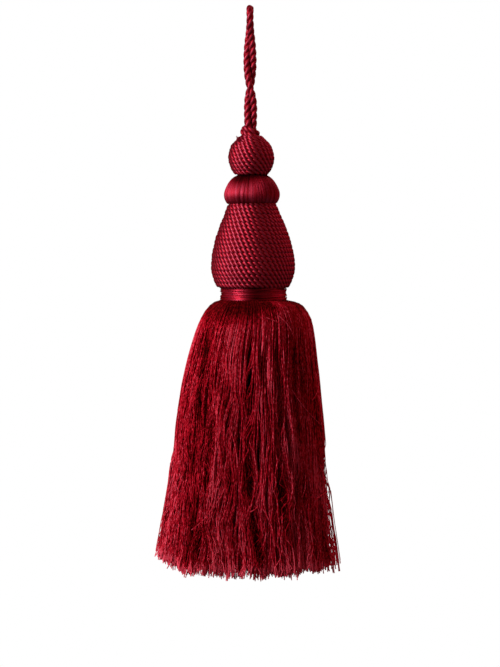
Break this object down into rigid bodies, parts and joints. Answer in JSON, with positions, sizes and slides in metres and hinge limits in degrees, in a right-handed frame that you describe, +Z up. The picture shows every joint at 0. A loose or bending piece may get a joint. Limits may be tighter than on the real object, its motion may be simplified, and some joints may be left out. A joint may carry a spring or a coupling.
{
  "type": "silk tassel",
  "caption": "Silk tassel on a twisted hanging loop: a cord-wound knob, a satin ring, a cord-wound pear head, a satin binding and a long cut skirt.",
  "frame": {"origin": "the point inside the top of the hanging loop's eye that a hook or knob bears on", "axes": "+Z up along the hanging tassel, -Y to its front, +X to the right seen from the front"},
  "size_m": [0.0922, 0.0922, 0.2837],
  "materials": {
    "cord_silk": "twisted silk cord, satin sheen",
    "floss_silk": "untwisted silk floss, bright sheen along the fibres",
    "skirt_silk": "cut silk threads, soft sheen"
  },
  "bodies": {
    "root": {"hanging_cord": "cord_silk", "collar_turn": "cord_silk", "knob": "cord_silk", "satin_ring": "floss_silk", "pear": "cord_silk", "binding": "floss_silk", "skirt": "skirt_silk"}
  },
  "joints": []
}
